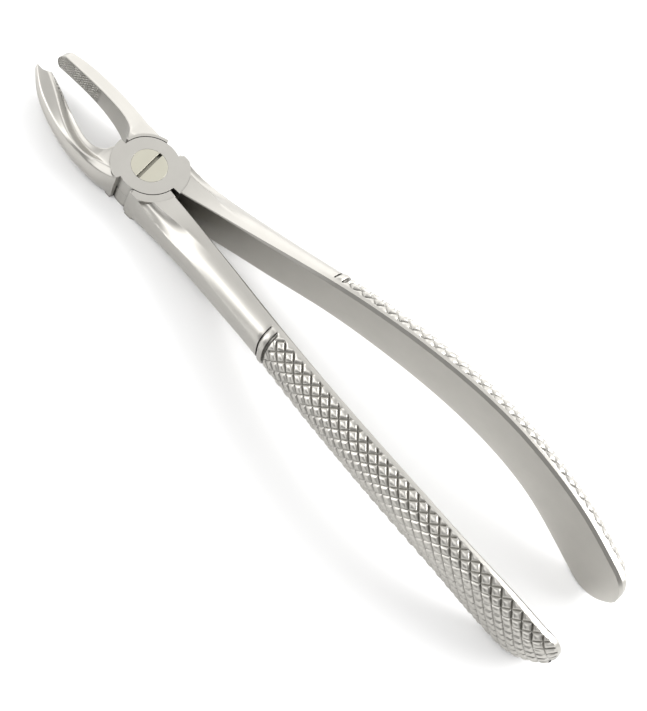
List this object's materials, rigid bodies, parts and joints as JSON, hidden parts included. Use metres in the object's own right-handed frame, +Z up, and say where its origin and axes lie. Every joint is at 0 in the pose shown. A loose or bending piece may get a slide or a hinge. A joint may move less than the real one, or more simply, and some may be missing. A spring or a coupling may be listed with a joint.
{
  "type": "extraction forceps",
  "caption": "Hand forceps for drawing upper molars: two crossed steel halves with a lap joint and a flush slotted screw, curved beaks and cross-knurled bowed handles.",
  "frame": {"origin": "where the hinge axis meets the flat underside of the joint", "axes": "+Z up along the hinge axis, towards the screw head; +X along the handles, away from the beaks; +Y towards the upper half's handle"},
  "size_m": [0.1719, 0.0372, 0.0222],
  "materials": {
    "upper_half_steel": "satin",
    "lower_half_steel": "satin",
    "screw_steel": "satin"
  },
  "bodies": {
    "lower_half": {"lower_half": "lower_half_steel", "hinge_screw": "screw_steel"},
    "upper_half": {"upper_half": "upper_half_steel"}
  },
  "joints": [
    {"name": "pivot", "type": "hinge", "parent": "lower_half", "child": "upper_half", "pos_m": [0, 0, 0.0044], "axis": [0, 0, 1], "range_deg": [-6, 24]}
  ]
}
